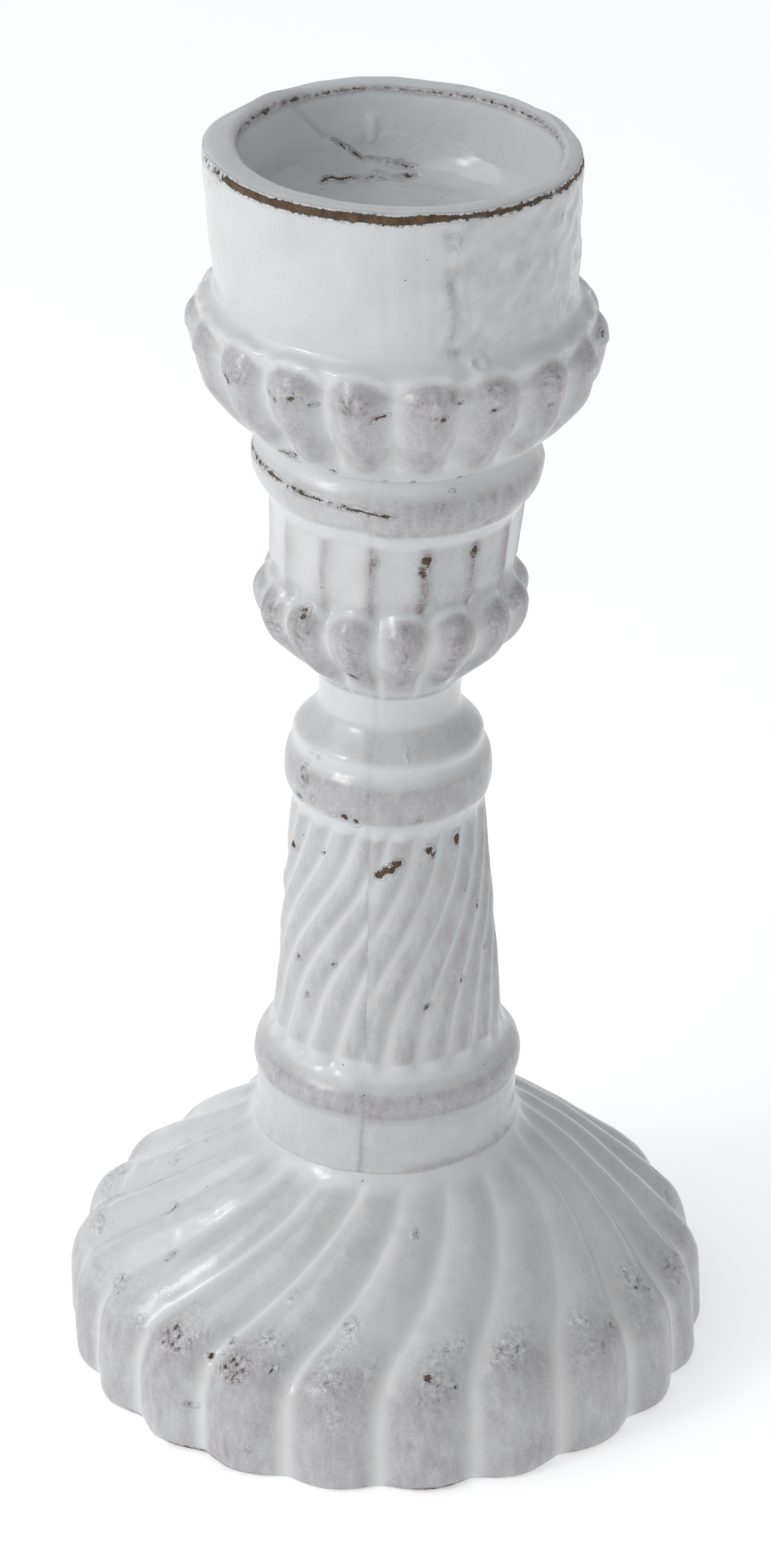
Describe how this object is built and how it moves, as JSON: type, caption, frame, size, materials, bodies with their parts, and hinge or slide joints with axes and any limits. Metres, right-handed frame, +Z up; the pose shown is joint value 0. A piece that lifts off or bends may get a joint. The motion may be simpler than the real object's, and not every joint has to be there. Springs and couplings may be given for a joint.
{
  "type": "earthenware candlestick",
  "caption": "Short glazed earthenware candlestick: hollow foot with swirling lobes, ribbed baluster stem, lobed bowl and a shallow round candle cup.",
  "frame": {"origin": "centre of the ring that the foot stands on, at table height", "axes": "+Z up along the stem, -Y towards the side with the stem's front mould seam, +X to the right seen from that side"},
  "size_m": [0.0846, 0.084, 0.17],
  "materials": {
    "milk_white_glaze": "glossy milky tin glaze, thick and white in the hollows, thin and mauve-grey over the crests, brown clay bared at the rim, edges and pits",
    "bare_clay": "unglazed dark brown earthenware, matt and slightly rough"
  },
  "bodies": {
    "root": {"foot": "milk_white_glaze", "foot_joint_coil": "bare_clay", "stem_shell_left": "milk_white_glaze", "stem_shell_right": "milk_white_glaze", "bowl_joint_coil": "bare_clay", "cup_shell_left": "milk_white_glaze", "cup_shell_right": "milk_white_glaze", "cup_floor": "milk_white_glaze", "cup_floor_coil": "milk_white_glaze"}
  },
  "joints": []
}
